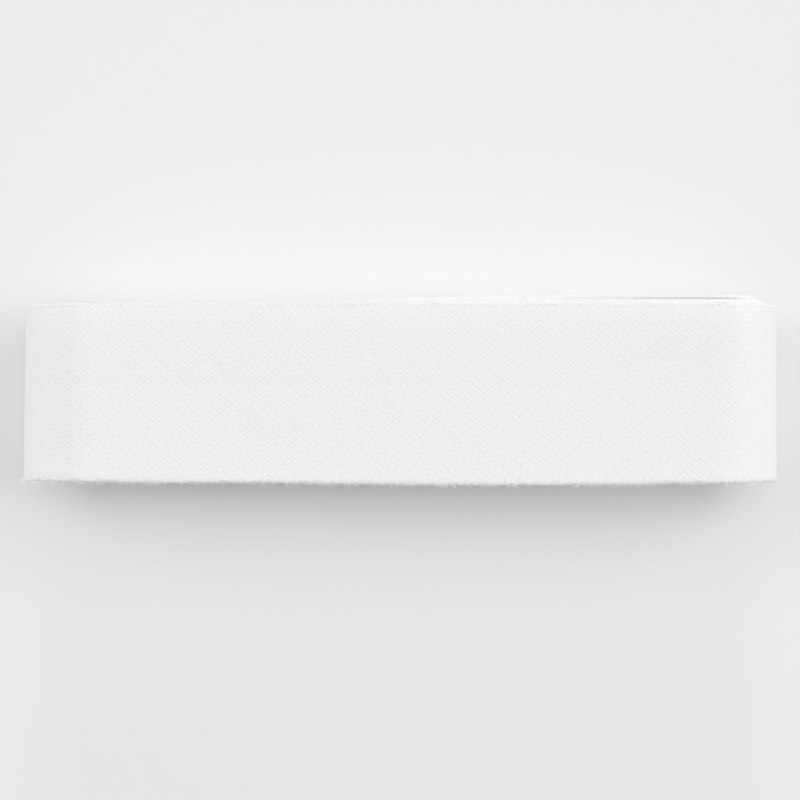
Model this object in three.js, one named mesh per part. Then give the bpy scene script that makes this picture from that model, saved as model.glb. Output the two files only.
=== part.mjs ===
import * as THREE from 'three';

// A roll of bias tape: a strip of white cotton, cut on the bias, both raw edges pressed in to the
// middle, wound flat on itself and lying on its wide side. Millimetres, +Z up: X runs along the roll,
// Y across the tape and Z through the wound turns. The origin is on the surface that the roll rests
// on, under its middle.

// The folded tape.
const tapeWidth = 20;
const tapeThickness = 0.46; // both layers of cotton, as they lie in the roll
const turns = 19;

// The wound form, seen along Y: two flat runs joined by two round ends.
const flatRun = 67.3; // between the centres of the round ends
const eyeGap = 1.2; // slit that the winding blade left in the middle
const crown = 1.1; // swell of the flat runs, highest a little right of their middle
const crownPlace = 6;
const flatSpot = 0.15; // how much of the swell is left underneath, where the roll is pressed level
const edgeDrop = 0.25; // the turns round off towards both edges of the tape
const edgeDropWidth = 4;
const facePlaces = [-0.85, -0.7, -0.5, 0, 0.5, 0.7, 0.85]; // points across, as shares of half the width
const foldSteps = 3; // in the quarter round of a folded edge

// The outer end of the tape is cut square and lies on the turn below, low on the left round end.
const cutAngle = 222; // degrees, 180 points left and 270 down
const cutSlope = 2; // degrees over which the surface steps down to the turn below

// The sides show the folded edges in bundles of turns, listed from the outside in. inner is the depth
// in turns at which a bundle ends, shift is how far its turns sit towards the back, and lip how much
// further they have slid out at the back of the right end.
const bundles = [
  { inner: 2, shift: 0.0, lip: 0.0 },
  { inner: 4, shift: 0.05, lip: 0.5 },
  { inner: 6, shift: 0.1, lip: 0.75 },
  { inner: 9, shift: -0.2, lip: 0.25 },
  { inner: 12, shift: 0.15, lip: 0.0 },
  { inner: 15, shift: -0.1, lip: 0.0 },
  { inner: turns, shift: 0.1, lip: 0.0 },
];
const grooveDepth = 0.2; // of the lines between bundles, below the lower of the two edges
const grooveHalfWidth = 0.35; // in turns

// Where those turns have slid out, as distances along the surface from the middle of the top: the
// slide grows from start to full, and fades from last to gone.
const lipWindow = { start: 12, full: 28, last: 38, gone: 50 };

const halfRun = flatRun / 2;
const halfWidth = tapeWidth / 2;
const endRadius = eyeGap / 2 + turns * tapeThickness;
const foldRadius = tapeThickness / 2;
const { degToRad, lerp, smoothstep } = THREE.MathUtils;

// One turn of the outer surface, from the cut end back along the tape. core is the place on the
// roll's middle line, and angle the way from there out to the surface, in degrees: 90 is up and -90
// down.
const stretches = [
  { steps: 8, core: [-halfRun, -halfRun], angle: [cutAngle, 90] },
  { steps: 18, core: [-halfRun, halfRun], angle: [90, 90] },
  { steps: 12, core: [halfRun, halfRun], angle: [90, -90] },
  { steps: 14, core: [halfRun, -halfRun], angle: [-90, -90] },
  { steps: 4, core: [-halfRun, -halfRun], angle: [-90, cutAngle - 360 + cutSlope] },
];

// The station at a share t of a stretch that starts at a given reach.
function stationOn({ core, angle }, t, startReach) {
  const length = Math.abs(core[1] - core[0]) + endRadius * degToRad(Math.abs(angle[1] - angle[0]));
  return { core: lerp(...core, t), angle: degToRad(lerp(...angle, t)), reach: startReach + t * length };
}

// Stations around the turn. reach is the distance along the surface from the middle of the top, and
// turn how much of a whole turn lies between the cut end and the station.
function stationsAround() {
  const first = -halfRun - endRadius * degToRad(cutAngle - 90);
  const stations = [];
  let reach = first;
  for (const stretch of stretches) {
    for (let k = 0; k < stretch.steps; k++) stations.push(stationOn(stretch, k / stretch.steps, reach));
    reach = stationOn(stretch, 1, reach).reach;
  }
  stations.push({ ...stationOn(stretches.at(-1), 1, 0), reach });
  return stations.map((s) => ({ ...s, turn: (s.reach - first) / (reach - first) }));
}

// A smooth hump over a flat run: 1 at its peak, and level with the round ends at both ends of the run.
function hump(core) {
  const t = (core - crownPlace) / (core > crownPlace ? halfRun - crownPlace : halfRun + crownPlace);
  return (1 - t * t) ** 2;
}

// How far the outermost turns stand out past the plain wound form: the crown along the run, less the
// rounding towards the tape's edges.
function swell(core, y) {
  const inEdge = Math.max(0, (Math.abs(y) - halfWidth + edgeDropWidth) / edgeDropWidth);
  return crown * hump(core) - edgeDrop * inEdge ** 2;
}

// A folded edge of the outermost turn, as a quarter round from the face to the side. side is -1 at
// the front and 1 at the back.
function foldArc(side, shift, turn) {
  return Array.from({ length: foldSteps + 1 }, (_, k) => {
    const a = (k / foldSteps) * (Math.PI / 2);
    return {
      y: shift + side * (halfWidth - foldRadius + foldRadius * Math.sin(a)),
      depth: turn + (foldRadius / tapeThickness) * (1 - Math.cos(a)),
    };
  });
}

// One side of the roll from the outermost bundle in to the eye: a level edge for each bundle, and a
// groove between it and the next.
function bundleEdges(side, shifts) {
  const points = [];
  bundles.forEach(({ inner }, i) => {
    const edge = side * halfWidth + shifts[i];
    const lower = side * Math.min(side * shifts[i], side * (shifts[i + 1] ?? shifts[i]));
    if (i > 0) points.push({ y: edge, depth: bundles[i - 1].inner + grooveHalfWidth });
    points.push({ y: edge, depth: inner - grooveHalfWidth });
    points.push({ y: side * (halfWidth - grooveDepth) + lower, depth: inner });
  });
  return points;
}

// The section through the wound turns at a station, as a closed loop: across the outer face from
// front to back, down the back, and up the front. depth counts turns in from the outside.
function sectionAt(station) {
  const { start, full, last, gone } = lipWindow;
  const slide = smoothstep(station.reach, start, full) * (1 - smoothstep(station.reach, last, gone));
  const shifts = bundles.map(({ shift, lip }) => shift + lip * slide);
  const face = facePlaces.map((share) => ({ y: share * halfWidth, depth: station.turn }));
  return [
    ...foldArc(-1, shifts[0], station.turn).reverse(),
    ...face,
    ...foldArc(1, shifts[0], station.turn),
    ...bundleEdges(1, shifts),
    ...bundleEdges(-1, shifts).reverse(),
  ];
}

// A section's point in space. Inner turns swell less, in step with their radius, and the turns
// underneath are pressed level where the roll rests.
function placeOf(station, { y, depth }) {
  const plain = eyeGap / 2 + (turns - depth) * tapeThickness;
  const radius = plain * (1 + swell(station.core, y) / endRadius);
  const x = station.core + Math.cos(station.angle) * radius;
  const z = Math.sin(station.angle) * radius;
  return [x, y, Math.max(z, -endRadius - flatSpot)];
}

// The sections joined around the turn into one closed surface, stood on its flat spot with its
// middle over the origin.
function woundSurface() {
  const sections = stationsAround().map((s) => sectionAt(s).map((p) => placeOf(s, p)));
  const count = sections.length;
  const size = sections[0].length;
  const faces = [];
  for (let i = 0; i < count; i++) {
    for (let j = 0; j < size; j++) {
      const [here, next] = [i * size, ((i + 1) % count) * size];
      const [low, high] = [j, (j + 1) % size];
      faces.push(here + low, next + low, next + high, here + low, next + high, here + high);
    }
  }
  const surface = new THREE.BufferGeometry();
  surface.setAttribute('position', new THREE.Float32BufferAttribute(sections.flat(2), 3));
  surface.setIndex(faces);
  surface.computeBoundingBox();
  const middle = surface.boundingBox.getCenter(new THREE.Vector3());
  surface.translate(-middle.x, -middle.y, -surface.boundingBox.min.z);
  surface.computeVertexNormals();
  return surface;
}

const whiteCotton = new THREE.MeshStandardMaterial({ color: 0xf2f2f1, roughness: 0.92, metalness: 0 });

const woundTape = new THREE.Mesh(woundSurface(), whiteCotton);
woundTape.name = 'wound_tape';

const roll = new THREE.Group();
roll.add(woundTape);

export default roll;
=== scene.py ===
# %% [markdown]
# # A roll of bias tape
# Bias tape is a strip of cotton cut at a slant to its threads, so that it stretches round curves. Both
# raw edges are pressed in to the middle, and the folded tape is wound flat on itself for the shop. The
# roll here lies on its wide side and is seen from straight above. This lesson folds the strip, winds it,
# weaves its surface, and then lights it like the photograph. Lengths are in metres.

# %% Load the packed part
import math

import bpy
import numpy as np
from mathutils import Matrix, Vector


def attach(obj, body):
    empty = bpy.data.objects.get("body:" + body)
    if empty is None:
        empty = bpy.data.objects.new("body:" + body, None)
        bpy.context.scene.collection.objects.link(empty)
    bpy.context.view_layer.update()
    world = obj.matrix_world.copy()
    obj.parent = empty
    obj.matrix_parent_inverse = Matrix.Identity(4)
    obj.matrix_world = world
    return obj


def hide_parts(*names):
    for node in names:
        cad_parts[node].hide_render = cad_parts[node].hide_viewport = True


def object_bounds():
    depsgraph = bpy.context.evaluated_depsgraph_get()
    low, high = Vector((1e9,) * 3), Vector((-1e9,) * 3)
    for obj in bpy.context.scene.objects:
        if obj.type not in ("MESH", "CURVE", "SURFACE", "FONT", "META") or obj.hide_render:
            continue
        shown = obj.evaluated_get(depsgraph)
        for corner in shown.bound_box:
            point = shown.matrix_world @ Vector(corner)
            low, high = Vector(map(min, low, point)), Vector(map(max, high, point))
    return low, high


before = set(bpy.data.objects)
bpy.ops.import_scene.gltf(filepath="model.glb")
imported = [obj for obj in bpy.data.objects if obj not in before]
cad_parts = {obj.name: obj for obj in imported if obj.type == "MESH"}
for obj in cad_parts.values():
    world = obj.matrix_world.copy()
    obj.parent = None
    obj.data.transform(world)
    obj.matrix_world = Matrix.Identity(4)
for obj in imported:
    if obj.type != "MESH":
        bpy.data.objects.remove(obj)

MM = 0.001
cad_box = [list(corner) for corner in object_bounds()]
print("solid to dress, in mm:", np.round(np.array(cad_box) / MM, 2).tolist())

# %% [markdown]
# ## The winding
# Seen from the side, every turn is two flat runs joined by two half rounds. The turns could be drawn as
# separate closed rings, but a real roll is one spiral, and its outer end leaves a small step. So the path
# is a function of one number, the depth in turns from the outer end, and the radius shrinks steadily
# with it. A flat run and a half round are both straight lines in (place on the middle line, angle out),
# so two interpolations give the whole path.

# %% The path of the tape
TURNS = 19
TURN_PITCH = 0.46 * MM  # from one turn to the next
EYE_GAP = 1.2 * MM  # the slit in the middle
FLAT_RUN = 67.3 * MM
CUT_ANGLE = 222  # degrees: the outer end stops low on the left round end
END_RADIUS = EYE_GAP / 2 + TURNS * TURN_PITCH
HALF_RUN = FLAT_RUN / 2

half_round = END_RADIUS * math.pi
up_left = END_RADIUS * math.radians(CUT_ANGLE - 90)
TURN_STOPS = np.cumsum([0, up_left, FLAT_RUN, half_round, FLAT_RUN, half_round - up_left])
STOP_CORES = HALF_RUN * np.array([-1, -1, 1, 1, -1, -1])
STOP_ANGLES = np.radians([CUT_ANGLE, 90, 90, -90, -90, CUT_ANGLE - 360])
TURN_LENGTH = TURN_STOPS[-1]
TOP_MIDDLE = up_left + HALF_RUN


def path(depth):
    """The path at a depth in turns: place on the roll's middle line, angle out from it, and the distance
    round the turn from the middle of the top."""
    reach = (depth % 1) * TURN_LENGTH
    core = np.interp(reach, TURN_STOPS, STOP_CORES)
    angle = np.interp(reach, TURN_STOPS, STOP_ANGLES)
    return core, angle, reach - TOP_MIDDLE


print("one outer turn is", round(TURN_LENGTH / MM, 1), "mm long")

# %% [markdown]
# ## The swell of the roll
# Wound cloth isn't flat: the runs swell towards their middle, and the turns round off towards the back
# edge of the tape. Underneath, the weight presses the swell level where the roll rests. A cloth
# simulation could find such a form, but here each effect is one term of a sum, which is quick and always
# the same. The sum is scaled by the radius, so that the inner turns swell less and no turn cuts another.
# The innermost turns are slack since the winding blade was drawn out, so they sink into the slit it left.

# %% Swell, edges, the flat spot and the slit
TAPE_WIDTH = 20 * MM
HALF_WIDTH = TAPE_WIDTH / 2
CROWN = 1.1 * MM
CROWN_PLACE = 6 * MM  # a little right of the middle
EDGE_DROP_BACK = 0.23 * MM
EDGE_DROP_FRONT = -0.06 * MM  # below 0, because the front edge stands up a touch
EDGE_DROP_WIDTH = 3 * MM
FLAT_SPOT = 0.15 * MM  # how much of the swell is left underneath
LEFT_LEAN = 0.014  # the left end isn't quite square
LEFT_LEAN_POWER = 8  # which shows only close to that end
SLIT_SAG = 0.55 * MM
LOWER_SAG_SHARE = 0.4  # the turns below the slit sink less than those above


def smooth(low, high, x):
    """0 below low and 1 above high, with an S-shaped rise of 3t^2 - 2t^3 between them."""
    t = np.clip((x - low) / (high - low), 0, 1)
    return t * t * (3 - 2 * t)


def swell(depth, core, angle, v):
    """How far the outermost turn stands out past the plain form: crown times (1 - t^2)^2 along the run,
    less a parabola towards the tape's edges on the flat runs and a slight lean of the left end, and
    underneath no further than the surface that the roll rests on."""
    span = np.where(core > CROWN_PLACE, HALF_RUN - CROWN_PLACE, HALF_RUN + CROWN_PLACE)
    hump = (1 - ((core - CROWN_PLACE) / span) ** 2) ** 2
    in_edge = np.clip((np.abs(v) - HALF_WIDTH + EDGE_DROP_WIDTH) / EDGE_DROP_WIDTH, 0, None)
    edge_drop = np.where(v > 0, EDGE_DROP_BACK, EDGE_DROP_FRONT)
    rise = CROWN * hump - edge_drop * (in_edge * np.sin(angle)) ** 2
    rise = rise - LEFT_LEAN * v * np.clip(-core / HALF_RUN, 0, 1) ** LEFT_LEAN_POWER
    outermost = END_RADIUS - (depth % 1) * TURN_PITCH
    level = ((END_RADIUS + FLAT_SPOT) / outermost - 1) * END_RADIUS
    return np.where(np.sin(angle) < 0, np.minimum(rise, level), rise)


def sag(depth, core, angle):
    """How far the turns have sunk into the slit: (1 - t^2)^2 along the run, times the square of the depth,
    and less for the turns below the slit than for those above."""
    share = np.where(np.sin(angle) > 0, 1, LOWER_SAG_SHARE) * (depth / TURNS) ** 2
    return SLIT_SAG * share * (1 - (core / HALF_RUN) ** 2) ** 2


print("swell", CROWN / MM, "mm, sunk by up to", SLIT_SAG / MM, "mm at the slit")

# %% [markdown]
# ## Turns that have slid sideways
# No two turns lie exactly edge to edge. Whole bundles sit a little forward or back, each turn wanders by
# a few hundredths of a millimetre, and at the back of the right end the turns below the outer one have
# slid out and show as a fine lip with a dark slit. Each turn could be a piece of its own, moved by hand,
# but the tape is one strip. So a short table holds the bundles, a seeded random walk gives the wander,
# and both are added to a point's place across the roll.

# %% Sideways slides
BUNDLES = {  # depth in turns, shift towards the back in mm, and further slide at the lip in mm
    "depth": [0.5, 1.5, 2.5, 3.5, 4.5, 5.5, 7.5, 10.5, 13.5, 17.0],
    "shift": [0.0, 0.02, 0.05, 0.08, 0.1, 0.1, -0.2, 0.15, -0.1, 0.1],
    "lip": [0.0, 0.22, 0.5, 0.97, 0.4, 0.4, 0.25, 0.0, 0.0, 0.0],
}
SLIDE_WINDOW = np.array([-25, 22, 41, 47]) * MM  # it grows over the first two and fades over the last
WANDER = 0.035 * MM
WANDER_KNOTS_PER_TURN = 5
WANDER_FROM, WANDER_FULL = 0.7, 1.5  # turns: most of the outer turn keeps its own line
FRONT_EASE = {  # how far the front edge of the top is drawn in at places along the roll, in mm
    "place": [-33.7, -28, -14, 6, 24, 33.7],
    "ease": [0.34, 0.25, 0.24, 0.0, 0.02, 0.18],
}
TOP_FROM, TOP_FULL = 0.1, 0.8  # sines of the angle out: the round ends ease into the top
OUTER_TURN_Y = -0.325 * MM  # the slid turns stand out behind, so the outer one lies a little forward

rng = np.random.default_rng(40)
wander_depths = np.arange(TURNS * WANDER_KNOTS_PER_TURN + 1) / WANDER_KNOTS_PER_TURN
wander_values = rng.normal(0, WANDER, wander_depths.size)
wander_values = wander_values * smooth(WANDER_FROM, WANDER_FULL, wander_depths)


def within(window, reach):
    """1 between the middle two distances of a window, fading to 0 towards the outer two."""
    start, full, last, gone = window
    return smooth(start, full, reach) * (1 - smooth(last, gone, reach))


def across(depth, core, angle, reach, v):
    """The Y of a point v across the tape: its own place, with the front half drawn in towards the ends of
    the top run, plus the shift, lip and wander of its turn."""
    ease = np.interp(core / MM, FRONT_EASE["place"], FRONT_EASE["ease"]) * MM
    on_top = smooth(TOP_FROM, TOP_FULL, np.sin(angle))
    drawn_in = np.where(v < 0, 1 - ease * on_top / HALF_WIDTH, 1)
    shift = np.interp(depth, BUNDLES["depth"], BUNDLES["shift"]) * MM
    own_lip = np.interp(np.floor(depth) + 0.5, BUNDLES["depth"], BUNDLES["lip"]) * MM
    slide = own_lip * within(SLIDE_WINDOW, reach)
    wander = np.interp(depth, wander_depths, wander_values)
    return OUTER_TURN_Y + v * drawn_in + shift + slide + wander


furthest = round(np.abs(wander_values).max() / MM, 2)
print("turns slide out by up to", max(BUNDLES["lip"]), "mm, and wander by up to", furthest, "mm")

# %% [markdown]
# ## The folded strip
# A tape could be a flat ribbon with round edges. The real one is a 40 mm strip folded in from both sides,
# and the cut end, the folded edges and the faint line down the middle all come from that. So the profile
# is the strip itself: flat, then round a half circle, then back under. Its place across is the strip's
# own coordinate w, which is also what the weave needs later.

# %% The fold
CLOTH = 0.2 * MM  # one layer
LAYER_GAP = 0.03 * MM
FOLD_RADIUS = (CLOTH + LAYER_GAP) / 2
FOLD_START = HALF_WIDTH - CLOTH / 2 - FOLD_RADIUS
FOLD_END = FOLD_START + math.pi * FOLD_RADIUS


def fold(w):
    """The folded strip at w across: v and n of its mid-line, and its normal there. The line runs flat to
    the fold, round a half circle of FOLD_RADIUS, and back under itself."""
    beyond = np.abs(w) - FOLD_START
    turn = np.clip(beyond / FOLD_RADIUS, 0, math.pi)
    back = np.clip(np.abs(w) - FOLD_END, 0, None)
    v = np.sign(w) * (np.minimum(np.abs(w), FOLD_START) + FOLD_RADIUS * np.sin(turn) - back)
    n = -CLOTH / 2 - FOLD_RADIUS * (1 - np.cos(turn))
    return v, n, np.sign(w) * np.sin(turn), np.cos(turn)


print("folds of", FOLD_RADIUS / MM, "mm radius, from", round(FOLD_START / MM, 3), "mm off the middle")

# %% Points across the strip
RAW_MEET = 0.9 * MM  # the raw edges meet a little behind the middle
RAW_GAP = 0.16 * MM
FACE_PLACES = np.array([-9, -7.6, -5.2, -2.4, -0.2, 0.5, 0.9, 1.3, 2, 4.6, 7.2, 8.8]) * MM
LIP_PLACES = np.array([9.2, 9.45, 9.62]) * MM  # on both layers, where the lip will bend
FOLD_STEPS = 6

fold_places = np.linspace(FOLD_START, FOLD_END, FOLD_STEPS + 1)
front_raw = -(FOLD_END + FOLD_START + RAW_MEET - RAW_GAP / 2)
back_raw = FOLD_END + FOLD_START - RAW_MEET - RAW_GAP / 2
face = np.concatenate([FACE_PLACES, LIP_PLACES])
back_flap = FOLD_END + FOLD_START - LIP_PLACES[::-1]
strip = np.concatenate([[front_raw], -fold_places[::-1], face, fold_places, back_flap, [back_raw]])

# %% [markdown]
# ## Stations along the strip
# The outer turn is seen close up, so on the top and the round ends its stations are about 0.2 mm apart,
# less than the width of a thread. The turns below show only their folded edges, so they get by with a few
# stations on each stretch. Even spacing all along would spend most of the triangles where nothing shows.
# All inner turns use the same places round the turn, which keeps neighbours nested.

# %% Stations, from the outer end inwards
INNER_END = 18.55  # turns: the tape starts in the eye
STRETCH_STEPS = {"outer": [110, 340, 150, 40, 20], "inner": [9, 10, 14, 6, 4]}


def stations(steps):
    """Even places on each stretch of a turn, as shares of the whole turn."""
    stretches = zip(TURN_STOPS[:-1], TURN_STOPS[1:], steps)
    places = [np.linspace(start, stop, count, endpoint=False) for start, stop, count in stretches]
    return np.concatenate(places) / TURN_LENGTH


outer_depths = stations(STRETCH_STEPS["outer"])
inner_depths = (np.arange(1, TURNS)[:, None] + stations(STRETCH_STEPS["inner"])[None, :]).ravel()
inner_depths = inner_depths[inner_depths < INNER_END]
depths = np.concatenate([outer_depths, inner_depths, [INNER_END]])
print(depths.size, "stations,", outer_depths.size, "of them on the outer turn")

# %% [markdown]
# ## Small unevenness
# Ironed cotton still ripples by a few hundredths of a millimetre, sinks a little where the raw edges meet
# under it, and its folded edges are as bumpy as the threads that cross them. A displacement modifier
# could do this, but a formula on the strip's own coordinates is added as the points are made. The weave
# used here is the same one that the finish draws later: two sets of threads at about 40 degrees to the
# tape, because a bias strip is pulled a little as it is pressed.

# %% Ripples and threads
RIPPLES = {  # waves along and across in mm, and their start in turns
    "along": [23.0, 11.0, -17.0, 7.3],
    "across": [31.0, -19.0, 14.0, 9.0],
    "start": [0.1, 0.6, 0.35, 0.8],
}
SLANT_A, PITCH_A = math.radians(41.0), 0.561 * MM  # threads that fall to the right
SLANT_B, PITCH_B = math.radians(39.3), 0.397 * MM  # threads that rise to the right
CRIMP = 0.8  # how far a thread dips and rises at a crossing, against its own height


def weave(u, w):
    """Height of a plain weave from 0 to about 1: each thread is a rounded ridge, the absolute cosine of its
    phase, that dips where it goes under the other set and rises where it goes over."""
    a = np.cos(np.pi * (u * math.sin(SLANT_A) + w * math.cos(SLANT_A)) / PITCH_A)
    b = np.cos(np.pi * (u * math.sin(SLANT_B) - w * math.cos(SLANT_B)) / PITCH_B)
    over_a = np.abs(a) + CRIMP * np.sign(a) * b
    over_b = np.abs(b) - CRIMP * np.sign(b) * a
    return np.maximum(over_a, over_b) / (1 + CRIMP)


def ripple(u, v):
    """A sum of four slanted sine waves along and across the tape, from 0 to 1."""
    waves = zip(RIPPLES["along"], RIPPLES["across"], RIPPLES["start"])
    total = sum(np.sin(2 * np.pi * (u / (a * MM) + v / (c * MM) + s)) for a, c, s in waves)
    return 0.5 + total / (2 * len(RIPPLES["along"]))


print("threads to a centimetre:", [round(10 * MM / pitch, 1) for pitch in (PITCH_A, PITCH_B)])

# %% What is added to the plain form
RIPPLE = 0.035 * MM
TROUGH_DEPTH, TROUGH_WIDTH = 0.025 * MM, 0.4 * MM
FREE_UNTIL = 0.97  # turns: after a whole turn the outer end lies on the tape
REST_SINE, FREE_SINE = -0.6, 0.2  # sines of the angle out: it rests below the first, is free above the other
LIP_TURN = 3  # the fourth turn from the outside slid furthest
LIP_WINDOW = np.array([14, 30, 37.3, 39.3]) * MM  # the slit opens and closes over a shorter stretch
LIP_LIFT = 0.28 * MM  # how far the turns outside it stand off there
LIFT_FROM = 2 * MM  # across the tape: they start to lift here
LIP_RISE = np.array([0.0, -0.3, 0.55]) * MM  # its edge dips at the lip's places, then turns up behind them
THREAD_BUMP = 0.1 * MM
THREAD_MEAN = 0.6  # of the weave's height
BUMPS_FROM = 9.4 * MM  # across the tape: the bumps grow from here to the fold


def free_outer(depth, angle):
    """1 on the outer turn where it is free to ripple, and 0 where it rests or lies under another turn."""
    return (1 - smooth(FREE_UNTIL, 1.0, depth)) * smooth(REST_SINE, FREE_SINE, np.sin(angle))


def unevenness(depth, angle, reach, u, v, w):
    """What is added to n, the distance out from the turn's surface: ripples on the outer turn where it
    doesn't rest, the lift and curl at the lip, and the trough over the raw edges in the upper layer."""
    added = RIPPLE * ripple(u, v) * free_outer(depth, angle)
    lifted = LIP_LIFT * smooth(LIFT_FROM, HALF_WIDTH, v) * (depth < LIP_TURN)
    curled = np.interp(v, LIP_PLACES, LIP_RISE) * (np.floor(depth) == LIP_TURN)
    added = added + (lifted + curled) * within(LIP_WINDOW, reach)
    upper = np.abs(w) < FOLD_START
    return added - TROUGH_DEPTH * np.exp(-(((v - RAW_MEET) / TROUGH_WIDTH) ** 2)) * upper


def threads(depth, angle, u, v, w):
    """How far the threads stand out of the outer turn's folds, along the cloth's own normal."""
    at_fold = smooth(BUMPS_FROM, FOLD_START, np.abs(v)) * free_outer(depth, angle)
    return THREAD_BUMP * (weave(u, w) - THREAD_MEAN) * at_fold


print("ripples of", RIPPLE / MM, "mm, and a slit", LIP_LIFT / MM, "mm high at the lip")

# %% [markdown]
# ## The wound tape
# Now the strip is carried along the path. A curve with a bevel would do that too, but it couldn't bend
# single turns. Here each point of the profile is offset to both sides of the cloth's mid-line, so a
# station is one closed loop, and all of it is a few whole-array expressions.


# %% Carry the strip along the path
def tape_points(depth, u, w, side):
    """Points of the cloth at depths (down the rows) and places w (across the columns), on its outside for
    side 1 and its inside for side -1: the path's core plus its outward direction times the radius."""
    core, angle, reach = path(depth)
    v, n, normal_v, normal_n = fold(w)
    out = side * CLOTH / 2 + threads(depth, angle, u, v, w)
    v, n = v + out * normal_v, n + out * normal_n
    n = n + unevenness(depth, angle, reach, u, v, w)
    radius = (END_RADIUS - depth * TURN_PITCH + n) * (1 + swell(depth, core, angle, v) / END_RADIUS)
    radius = radius - sag(depth, core, angle)
    x = core + np.cos(angle) * radius
    y = across(depth, core, angle, reach, v)
    z = np.sin(angle) * radius + END_RADIUS + FLAT_SPOT
    return np.stack(np.broadcast_arrays(x, y, np.maximum(z, 0)), axis=-1)


def distance_along(depth):
    """Length of tape from its outer end to each depth: the steps between points of the path, added up."""
    core, angle, _ = path(depth)
    radius = END_RADIUS - (depth + 0.5) * TURN_PITCH
    line = np.stack([core + np.cos(angle) * radius, np.sin(angle) * radius])
    return np.concatenate([[0], np.cumsum(np.linalg.norm(np.diff(line), axis=0))])


along_tape = distance_along(depths)
rows, columns = depths[:, None], strip[None, :]
outside = tape_points(rows, along_tape[:, None], columns, 1)
inside = tape_points(rows, along_tape[:, None], columns, -1)
loops = np.concatenate([outside, inside[:, ::-1]], axis=1)
middle_x = (loops[..., 0].max() + loops[..., 0].min()) / 2
loops[..., 0] -= middle_x
roll_size = np.ptp(loops.reshape(-1, 3), axis=0)
print("tape:", round(along_tape[-1], 3), "m long, wound into", np.round(roll_size / MM, 2), "mm")

# %% [markdown]
# ## From loops to a mesh
# The loops are joined into a skin, with a cap of quads at each end of the tape, where it was cut. Each
# face is four numbers worked out from its place in the grid, so no loop over points is needed. The UV map
# holds the place on the flat strip in metres, u along it and w across it. An unwrapped map would break at
# its seams, but with this one the weave runs on round the folds as it does in the cloth.


# %% Join the loops into a mesh
def new_piece(name, points, faces, smooth_faces, uv=None):
    """A mesh object from arrays of points and faces, with a UV for each point where one is given."""
    mesh = bpy.data.meshes.new(name)
    mesh.from_pydata(points, [], faces)
    mesh.polygons.foreach_set("use_smooth", smooth_faces)
    if uv is not None:
        corners = np.empty(len(mesh.loops), dtype=np.int32)
        mesh.loops.foreach_get("vertex_index", corners)
        mesh.uv_layers.new(name="strip").uv.foreach_set("vector", uv[corners].astype(np.float32).ravel())
    mesh.validate()
    mesh.update()
    piece = bpy.data.objects.new(name, mesh)
    bpy.context.scene.collection.objects.link(piece)
    print(name, len(points), "points,", len(faces), "faces")
    return piece


def skin(count, size):
    """Quads between neighbouring loops, closed round the loop and open along the path."""
    here = (np.arange(count - 1) * size)[:, None]
    j = np.arange(size)[None, :]
    k = (j + 1) % size
    return np.stack([here + j, here + size + j, here + size + k, here + k], axis=-1).reshape(-1, 4)


def cap(first, size):
    """Quads across the thickness of the cloth at one end of the tape, from its outside to its inside."""
    j = np.arange(size // 2 - 1)
    return first + np.stack([j, j + 1, size - 2 - j, size - 1 - j], axis=-1)


count, size = loops.shape[:2]
side_faces = skin(count, size)
raw_edge = np.isin(np.arange(size), [size // 2 - 1, size - 1])
side_smooth = np.tile(~raw_edge, count - 1)
end_caps = np.concatenate([cap(0, size), cap((count - 1) * size, size)[:, ::-1]])
loop_w = np.concatenate([strip, strip[::-1]])
strip_uv = np.stack(np.broadcast_arrays(along_tape[:, None], loop_w[None, :]), axis=-1)

wound_tape = new_piece(
    "wound_bias_tape",
    loops.reshape(-1, 3),
    np.concatenate([side_faces, end_caps]).tolist(),
    np.concatenate([side_smooth, np.zeros(len(end_caps), dtype=bool)]),
    strip_uv.reshape(-1, 2),
)

# %% [markdown]
# ## Loose fibres
# Cotton is spun from short hairs, and some of them stand out of the folds in small tufts. They are too
# fine to see one by one, but they blur the edges of the roll. Hair particles would do, yet a seeded array
# of thin three-sided tubes is lighter and is a real mesh. Each fibre is a root, a direction and a bend:
# root + length * (direction * t + bend * t^2).

# %% Where the fibres grow
TUFTS = 600
FIBRES_IN_TUFT = 10
FIBRES = TUFTS * FIBRES_IN_TUFT
TUFT_SPREAD = 0.1 * MM
FUZZY_FROM, FUZZY_TO = 0.001, 0.6  # turns: the top and both round ends
FRONT_SHARE = 0.92  # most of the tufts are on the front fold
TUFT_PLACES = (FOLD_START - 0.05 * MM, FOLD_END - 0.15 * MM)  # across the strip, on the fold
PROBE_STEP = 0.02 * MM


def unit(vectors):
    """Each vector divided by its length."""
    return vectors / np.linalg.norm(vectors, axis=-1, keepdims=True)


def surface_at(depth, u, w):
    """Points on the outside of the tape, and the outward normal from the cross product of small steps along
    and across."""
    here = tape_points(depth, u, w, 1)
    ahead = tape_points(depth + PROBE_STEP / TURN_LENGTH, u + PROBE_STEP, w, 1) - here
    beside = tape_points(depth, u, w + PROBE_STEP, 1) - here
    return here, unit(np.cross(ahead, beside))


def scatter(tuft_values, spread):
    """One value for each fibre: that of its tuft, plus its own offset."""
    return np.repeat(tuft_values, FIBRES_IN_TUFT) + rng.normal(0, spread, FIBRES)


tuft_depth = rng.uniform(0, FUZZY_TO, TUFTS)
fibre_depth = np.clip(scatter(tuft_depth, TUFT_SPREAD / TURN_LENGTH), FUZZY_FROM, 1)
tuft_side = rng.choice([-1, 1], TUFTS, p=[FRONT_SHARE, 1 - FRONT_SHARE])
tuft_w = tuft_side * rng.uniform(*TUFT_PLACES, TUFTS)
fibre_w = scatter(tuft_w, TUFT_SPREAD / 2)
root, normal = surface_at(fibre_depth, np.interp(fibre_depth, depths, along_tape), fibre_w)
root[:, 0] -= middle_x
print(FIBRES, "fibres,", int((fibre_w > 0).sum()), "of them on the back fold")

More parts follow.
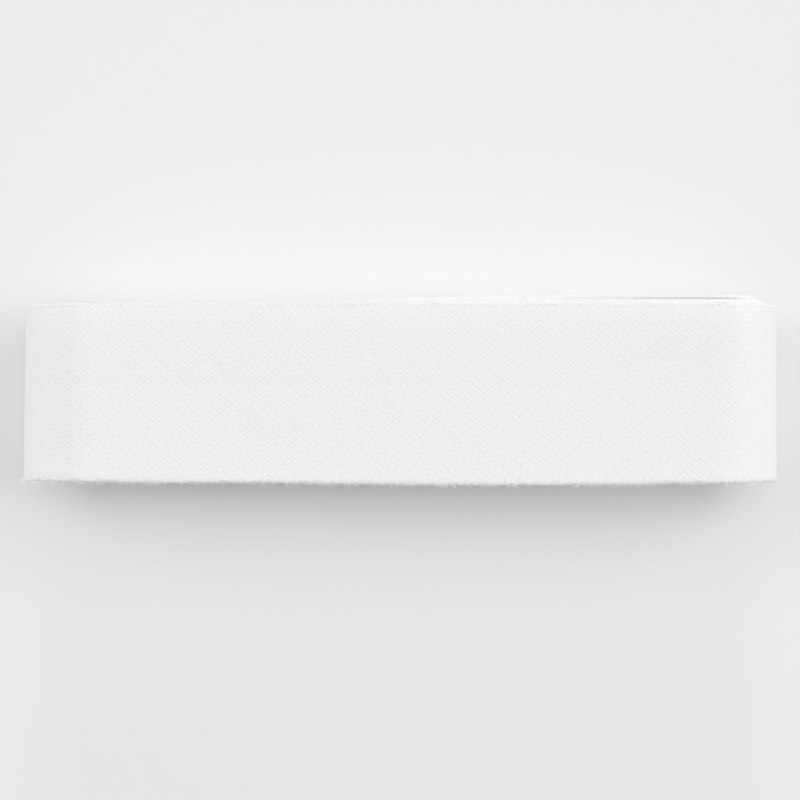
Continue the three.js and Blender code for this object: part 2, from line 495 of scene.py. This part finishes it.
# %% Bend the fibres
FIBRE_LENGTH = (0.08 * MM, 0.6 * MM)
SHORTEST_SHARE = 0.4  # a second draw shortens most of them
FIBRE_RADIUS = 0.018 * MM
FIBRE_TILT = 0.55  # how far they stray from the cloth's normal
FIBRE_BEND = 0.45
FIBRE_TAPER = 0.6  # of the radius, from root to tip
FIBRE_STEPS = 4
FIBRE_SIDES = 3

direction = unit(normal + rng.normal(0, FIBRE_TILT, (FIBRES, 3)))
bend = rng.normal(0, FIBRE_BEND, (FIBRES, 3))
length = rng.uniform(*FIBRE_LENGTH, FIBRES) * rng.uniform(SHORTEST_SHARE, 1, FIBRES)
t = np.linspace(0, 1, FIBRE_STEPS)[None, :, None]
line = root[:, None] + length[:, None, None] * (direction[:, None] * t + bend[:, None] * t * t)
line[..., 2] = np.maximum(line[..., 2], 2 * FIBRE_RADIUS)
side_a = unit(np.cross(direction, bend))
side_b = unit(np.cross(direction, side_a))
turn = 2 * np.pi * np.arange(FIBRE_SIDES) / FIBRE_SIDES
ring = np.cos(turn)[:, None] * side_a[:, None] + np.sin(turn)[:, None] * side_b[:, None]
thin = FIBRE_RADIUS * (1 - FIBRE_TAPER * t)
tubes = (line[:, :, None] + thin[..., None] * ring[:, None]).reshape(-1, 3)
print("fibres are", round(length.mean() / MM, 2), "mm long on average")

# %% Join the fibres
fibre_size = FIBRE_STEPS * FIBRE_SIDES
fibre_start = (np.arange(FIBRES) * fibre_size)[:, None, None]
tube_faces = (fibre_start + skin(FIBRE_STEPS, FIBRE_SIDES)[None]).reshape(-1, 4)
root_end = np.arange(FIBRE_SIDES)
ends = np.stack([root_end[::-1], root_end + fibre_size - FIBRE_SIDES])
end_faces = (fibre_start + ends[None]).reshape(-1, FIBRE_SIDES)
fuzz_faces = tube_faces.tolist() + end_faces.tolist()
fuzz = new_piece("cotton_fuzz", tubes, fuzz_faces, np.zeros(len(fuzz_faces), dtype=bool))

# %% [markdown]
# ## Shader arithmetic
# A weave is a formula, and a formula is easier to read as an expression than as a web of nodes. This
# small class wraps a socket, so that +, -, * and / add Math nodes, and one method makes any other node.


# %% A socket that takes part in expressions
class Shade:
    """A shader socket in a node tree. Arithmetic on it adds Math nodes."""

    def __init__(self, tree, socket=None):
        self.tree, self.socket = tree, socket

    def node(self, kind, settings=None, sockets=None, output=0):
        """Any node: its type, its settings, which are set first, then its sockets' values or links."""
        made = self.tree.nodes.new(kind)
        for name, value in (settings or {}).items():
            setattr(made, name, value)
        for name, value in (sockets or {}).items():
            if isinstance(value, Shade):
                self.tree.links.new(value.socket, made.inputs[name])
            else:
                made.inputs[name].default_value = value
        return Shade(self.tree, made.outputs[output])

    def math(self, operation, *values):
        """A Math node on values or links."""
        return self.node("ShaderNodeMath", {"operation": operation}, dict(enumerate(values)))

    def __add__(self, other):
        return self.math("ADD", self, other)

    __radd__ = __add__

    def __sub__(self, other):
        return self.math("SUBTRACT", self, other)

    def __rsub__(self, other):
        return self.math("SUBTRACT", other, self)

    def __mul__(self, other):
        return self.math("MULTIPLY", self, other)

    __rmul__ = __mul__

    def __truediv__(self, other):
        return self.math("DIVIDE", self, other)

    def __rtruediv__(self, other):
        return self.math("DIVIDE", other, self)

    def step(self, low, high):
        """0 below low and 1 above high, with a smooth rise between them."""
        return self.node(
            "ShaderNodeMapRange", {"interpolation_type": "SMOOTHSTEP"}, {0: self, 1: low, 2: high}
        )

    def mix(self, low, high):
        """A colour between low and high, with this value as the factor."""
        colours = {"Factor": self, 6: (*low, 1), 7: (*high, 1)}
        return self.node("ShaderNodeMix", {"data_type": "RGBA"}, colours, output=2)

    def feed(self, shader, name):
        """Link this socket to one of a shader's own."""
        self.tree.links.new(self.socket, shader.inputs[name])


methods = [name for name, value in vars(Shade).items() if callable(value)]
print("a wrapped socket has", ", ".join(methods))

# %% [markdown]
# ## White cotton, woven plain and cut on the bias
# The threads could be an image, but an image blurs close up and would have a seam. Here they are drawn
# from the UV map, in millimetres on the flat strip, with the same formula as the bumps at the folds. Real
# threads aren't even, so their phase drifts a little and each thread has its own thickness. The gaps
# between threads are painted a touch darker in the base colour, as painted shade for the light that doesn't
# come back out of them. Round the folds the threads are spread apart and more gap shows, so more of that
# painted shade covers the cloth there.

# %% Threads that aren't even
SPACING_DRIFT, SPACING_SCALE, SPACING_DETAIL = 0.6, 0.8, 1.0  # in threads, and features per thread
THINNEST, THICKEST = 0.75, 1.2  # of a thread's height


def uneven(count_across):
    """A set of threads that aren't evenly spaced: whole threads are moved by noise along their count."""
    sockets = {"W": count_across, "Scale": SPACING_SCALE, "Detail": SPACING_DETAIL}
    moved = count_across.node("ShaderNodeTexNoise", {"noise_dimensions": "1D"}, sockets)
    return count_across + SPACING_DRIFT * (moved - 0.5)


def thread_count(u, w, slant, pitch, way):
    """Threads counted across a set at u along and w across, in mm: (u sin + way * w cos) / pitch."""
    per_u = math.sin(slant) * MM / pitch
    per_w = way * math.cos(slant) * MM / pitch
    return uneven(u * per_u + w * per_w)


def own_size(phase):
    """A height for each thread, between the thinnest and the thickest, by its number."""
    number = phase.math("ROUND", phase)
    drawn = phase.node("ShaderNodeTexWhiteNoise", {"noise_dimensions": "1D"}, {"W": number})
    return THINNEST + (THICKEST - THINNEST) * drawn


print("threads are from", THINNEST, "to", THICKEST, "of their height")

# %% The weave's height
NOISES = {  # amount, features per millimetre and detail
    "slow_drift": (0.8, 0.2, 2.0),
    "quick_drift": (0.3, 1.3, 2.0),
    "hairs": (0.5, 9.0, 4.0),
    "slubs": (0.3, 3.0, 2.0),
    "mottle": (0.25, 0.12, 3.0),
}
STRENGTH_A, STRENGTH_B = 0.72, 1.2  # the threads that rise to the right stand out more


def noise(place, amount, scale, detail):
    """Smooth noise around 0, about half the amount to each side, at a number of features per unit."""
    sockets = {"Vector": place, "Scale": scale, "Detail": detail}
    made = place.node("ShaderNodeTexNoise", {"noise_dimensions": "3D"}, sockets)
    return amount * (made - 0.5)


def weave_height(place, u, w):
    """The weave as above, in nodes: a ridge for each thread, the absolute cosine of its phase times its own
    size, that dips and rises at the crossings, plus noise for hairs and thick places in the yarn."""
    drift = noise(place, *NOISES["slow_drift"]) + noise(place, *NOISES["quick_drift"])
    phase_a = thread_count(u, w, SLANT_A, PITCH_A, 1) + drift
    phase_b = thread_count(u, w, SLANT_B, PITCH_B, -1) - drift
    a = u.math("COSINE", phase_a * math.pi)
    b = u.math("COSINE", phase_b * math.pi)
    sign_a = u.math("SIGN", a)
    sign_b = u.math("SIGN", b)
    over_a = STRENGTH_A * (a * sign_a * own_size(phase_a) + CRIMP * sign_a * b)
    over_b = STRENGTH_B * (b * sign_b * own_size(phase_b) - CRIMP * sign_b * a)
    height = u.math("MAXIMUM", over_a, over_b) / (1 + CRIMP)
    return height + noise(place, *NOISES["hairs"]) + noise(place, *NOISES["slubs"])


print(len(NOISES), "noises make the cloth uneven:", ", ".join(NOISES))

# %% The cotton's finish
THREAD_WHITE = (0.845, 0.845, 0.844)
# painted shade: the gaps between threads are darkened in the base colour, for the light that doesn't come
# back out of them
GAP_PAINTED_SHADE = (0.79, 0.79, 0.789)
GAP_TOP, THREAD_TOP = 0.1, 0.75  # heights of the weave that count as all gap and all thread
GAP_ROUGHNESS, THREAD_ROUGHNESS = 0.95, 0.83
# painted shade: from here to the fold the painted gap shade is laid on more strongly, since the spread
# threads show more gap
SPREAD_FROM = 9.5 * MM  # across the strip: from here to the fold the threads are spread apart
BUMP_HEIGHT = 0.021 * MM
COTTON = {"Specular IOR Level": 0.25, "Sheen Weight": 0.15, "Sheen Roughness": 0.6}


def new_finish(name, constants):
    """A material and its shader, with what is the same all over set on the shader's own sockets."""
    material = bpy.data.materials.new(name)
    material.use_nodes = True
    shader = material.node_tree.nodes["Principled BSDF"]
    for socket, value in constants.items():
        shader.inputs[socket].default_value = value
    print(name, "is the same all over in", ", ".join(constants))
    return material, shader


def cotton_finish(name):
    """Plain weave on the strip's UV: a height for the bump, and from it the painted gap shade and the
    roughness.
    """
    material, shader = new_finish(name, COTTON)
    start = Shade(material.node_tree)
    flat = start.node("ShaderNodeUVMap", {"uv_map": "strip"})
    place = start.node("ShaderNodeVectorMath", {"operation": "SCALE"}, {0: flat, "Scale": 1 / MM})
    u = start.node("ShaderNodeSeparateXYZ", sockets={0: place}, output=0)
    w = start.node("ShaderNodeSeparateXYZ", sockets={0: place}, output=1)
    height = weave_height(place, u, w)
    cover = height.step(GAP_TOP, THREAD_TOP)
    spread = start.math("ABSOLUTE", w).step(SPREAD_FROM / MM, FOLD_START / MM)
    # painted shade: the base colour runs from the painted gap shade, which grows round the folds, to the
    # thread white; the mottle is the cloth's own uneven tone
    shade = cover + noise(place, *NOISES["mottle"]) - spread
    shade.mix(GAP_PAINTED_SHADE, THREAD_WHITE).feed(shader, "Base Color")
    (GAP_ROUGHNESS - (GAP_ROUGHNESS - THREAD_ROUGHNESS) * cover).feed(shader, "Roughness")
    relief = {"Strength": 1.0, "Distance": BUMP_HEIGHT, "Height": height}
    start.node("ShaderNodeBump", None, relief).feed(shader, "Normal")
    return material


cotton = cotton_finish("white_cotton_on_the_bias")
wound_tape.data.materials.append(cotton)
print("cotton:", len(cotton.node_tree.nodes), "nodes")

# %% [markdown]
# ## The fibres' finish
# A single cotton hair is clear enough to let light through, so against the light it glows instead of
# turning grey. A see-through shader would show that, but it is noisy on such thin tubes. Subsurface
# scattering over the width of a hair gives the same soft white. A slow noise on the object's own
# coordinates makes some hairs lighter than others.

# %% Cotton hairs
HAIR_GREY = (0.78, 0.78, 0.775)
HAIR_WHITE = (0.9, 0.9, 0.895)
HAIR_ROUGHNESS, HAIR_ROUGHER = 0.75, 0.2  # the least, and how much is added for the lightest
HAIR_NOISE = (1.0, 700.0, 2.0)  # amount, features per metre and detail
HAIRS = {"Subsurface Weight": 1.0, "Subsurface Radius": (1, 1, 1), "Subsurface Scale": 2 * FIBRE_RADIUS}


def fibre_finish(name):
    """Off-white hair, a little lighter and darker from place to place."""
    material, shader = new_finish(name, HAIRS)
    spot = Shade(material.node_tree).node("ShaderNodeTexCoord", output=3)
    shade = noise(spot, *HAIR_NOISE) + 0.5
    shade.mix(HAIR_GREY, HAIR_WHITE).feed(shader, "Base Color")
    (HAIR_ROUGHNESS + HAIR_ROUGHER * shade).feed(shader, "Roughness")
    return material


hairs = fibre_finish("cotton_hairs")
fuzz.data.materials.append(hairs)
print("hairs:", len(hairs.node_tree.nodes), "nodes")

# %% [markdown]
# ## The floor
# The roll lies on a pale matte surface that fills the picture. A curved backdrop would do for a view from
# the side, but straight from above one large plane is enough, and its edge is never seen.

# %% A pale floor
FLOOR_REACH = 6.0
PAPER = {"Base Color": (0.8, 0.8, 0.8, 1), "Roughness": 0.9}

floor_corners = FLOOR_REACH * np.array([[-1, -1, 0], [1, -1, 0], [1, 1, 0], [-1, 1, 0]])
floor = new_piece("pale_floor", floor_corners, [[0, 1, 2, 3]], np.array([False]))
paper, _ = new_finish("pale_paper", PAPER)
floor.data.materials.append(paper)

# %% [markdown]
# ## The lights
# The photograph is white on white, so the roll is told apart almost by its shadow alone. One lamp
# overhead would leave the sides too dark, and an even white world would leave no shadow at all. So a soft
# lamp stands almost overhead, low and high lamps stand at both sides, a low one stands behind, and a
# little light comes from all round. Each lamp is set by its direction and by how wide it looks, because
# those two decide where its shadow falls and how soft that is.

# %% Lamps and fill
LAMP_DISTANCE = 2.5
LAMPS = {  # direction in degrees clockwise from the back, height and width in degrees, and watts
    "name": ["key", "left_low", "left_high", "right_low", "right_high", "back"],
    "azimuth": [0, -88, -60, 90, 60, 0],
    "elevation": [85, 12, 50, 20, 50, 8],
    "width": [30, 18, 34, 8, 34, 14],
    "watts": [16.5, 16.5, 9.2, 18.2, 14.2, 15.0],
}
FILL = 0.325


def lamp(name, azimuth, elevation, width, watts):
    """A round soft lamp in a direction, turned to the roll, with its width given as an angle."""
    light = bpy.data.lights.new(name, "AREA")
    light.shape = "DISK"
    light.size = 2 * LAMP_DISTANCE * math.tan(math.radians(width) / 2)
    light.energy = watts
    a, e = math.radians(azimuth), math.radians(elevation)
    away = np.array([math.sin(a) * math.cos(e), math.cos(a) * math.cos(e), math.sin(e)])
    holder = bpy.data.objects.new(name, light)
    bpy.context.scene.collection.objects.link(holder)
    holder.location = LAMP_DISTANCE * away
    holder.rotation_euler = (math.pi / 2 - e, 0, math.pi - a)
    holder.visible_camera = False
    return holder


lamps = [lamp(*row) for row in zip(*LAMPS.values())]
world = bpy.data.worlds.new("studio")
bpy.context.scene.world = world
world.use_nodes = True
world.node_tree.nodes["Background"].inputs["Color"].default_value = (1, 1, 1, 1)
world.node_tree.nodes["Background"].inputs["Strength"].default_value = FILL
bpy.context.scene.view_settings.view_transform = "Standard"
print(len(lamps), "lamps,", round(sum(LAMPS["watts"]), 1), "watts")

# %% [markdown]
# ## The camera
# The camera looks straight down. A parallel view would be simpler, but in the photograph the round ends,
# about 10 mm lower than the top, look narrower than the middle. That gives the distance, about 0.2 m above
# the top face, and the lens follows from it and from the width of the picture at that face.

# %% A camera straight above
FRAME_WIDTH_AT_FACE = 87.47 * MM
CAMERA_ABOVE_FACE = 215 * MM
FACE_ABOVE_IMAGE_MIDDLE = 0.65 * MM
SENSOR = 36.0  # Blender gives lens and sensor in mm
NEAREST, FURTHEST = 0.01, 10

lens = bpy.data.cameras.new("camera")
lens.sensor_width = SENSOR
lens.lens = SENSOR * CAMERA_ABOVE_FACE / FRAME_WIDTH_AT_FACE
lens.clip_start, lens.clip_end = NEAREST, FURTHEST
camera = bpy.data.objects.new("camera", lens)
bpy.context.scene.collection.objects.link(camera)
camera.location = (0, OUTER_TURN_Y - FACE_ABOVE_IMAGE_MIDDLE, cad_box[1][2] + CAMERA_ABOVE_FACE)
bpy.context.scene.camera = camera
print("lens", round(lens.lens, 1), "mm")

# %% [markdown]
# ## What the pieces are
# The tape stands for the wound solid and moves with the part's only body, and the fibres move with it.
# The solid's box and the tape's size are both printed above.

for piece in (wound_tape, fuzz):
    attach(piece, "root")
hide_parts("wound_tape")
print("declared:", wound_tape.name, "as a folded sheet, with", fuzz.name)
